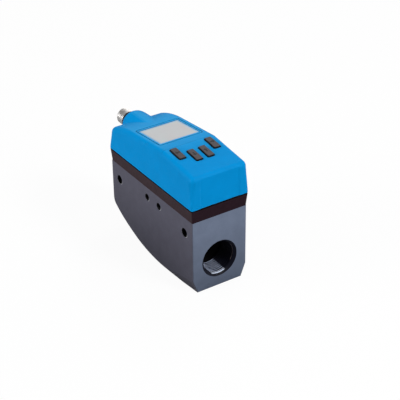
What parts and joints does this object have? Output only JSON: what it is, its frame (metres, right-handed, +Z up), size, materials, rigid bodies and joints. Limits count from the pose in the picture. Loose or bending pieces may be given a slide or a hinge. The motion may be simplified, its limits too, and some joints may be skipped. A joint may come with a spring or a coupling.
{
  "type": "compressed air flow meter",
  "caption": "In-line compressed air flow meter: grey metal channel block with threaded ports, dark frame, blue head with sloping display and push keys, round plug connector behind.",
  "frame": {"origin": "on the base plane, below the middle of the channel block", "axes": "+X out of the inlet port along the channel, +Z up, +Y across the block, away from the side with the tapped holes"},
  "size_m": [0.1238, 0.0448, 0.0941],
  "materials": {
    "anodised_grey": "satin anodised",
    "dark_plastic": "fine matte",
    "blue_plastic": "satin moulded",
    "black_plastic": "matte",
    "black_rubber": "matte",
    "key_plastic": "matte",
    "window_glass": "satin, barely clear",
    "lcd_grey": "satin",
    "board_green": "solder resist",
    "brass": "plain",
    "steel": "plain",
    "nickel": "satin nickel"
  },
  "bodies": {
    "housing": {"measuring_body": "anodised_grey", "base_frame": "dark_plastic", "frame_gasket": "black_rubber", "frame_screws": "steel", "cover_gasket": "black_rubber", "top_cover": "blue_plastic", "display_bezel": "blue_plastic", "display_window": "window_glass", "lcd_panel": "lcd_grey", "lcd_carrier": "black_plastic", "display_board": "board_green", "key_switches": "black_plastic", "display_pillars": "brass", "display_screws": "steel", "main_board": "board_green", "board_pillars": "brass", "board_screws": "steel", "board_link": "black_plastic", "board_chips": "black_plastic", "sensor_holder": "dark_plastic", "heater_probe": "steel", "temperature_probe": "steel", "sensor_o_ring": "black_rubber", "sensor_screws": "steel", "sensor_pins": "brass", "connector_shell": "nickel", "connector_o_ring": "black_rubber", "connector_insert": "black_plastic", "connector_pins": "brass", "connector_nut": "nickel"},
    "key_back": {"key_back": "key_plastic"},
    "key_down": {"key_down": "key_plastic"},
    "key_up": {"key_up": "key_plastic"},
    "key_enter": {"key_enter": "key_plastic"}
  },
  "joints": [
    {"name": "key_back_press", "type": "slide", "parent": "housing", "child": "key_back", "axis": [-0.1097, 0, -0.994], "range_m": [0, 0.0006], "stiffness_N_per_m": 2000},
    {"name": "key_down_press", "type": "slide", "parent": "housing", "child": "key_down", "axis": [-0.1097, 0, -0.994], "range_m": [0, 0.0006], "stiffness_N_per_m": 2000},
    {"name": "key_up_press", "type": "slide", "parent": "housing", "child": "key_up", "axis": [-0.1097, 0, -0.994], "range_m": [0, 0.0006], "stiffness_N_per_m": 2000},
    {"name": "key_enter_press", "type": "slide", "parent": "housing", "child": "key_enter", "axis": [-0.1097, 0, -0.994], "range_m": [0, 0.0006], "stiffness_N_per_m": 2000}
  ]
}
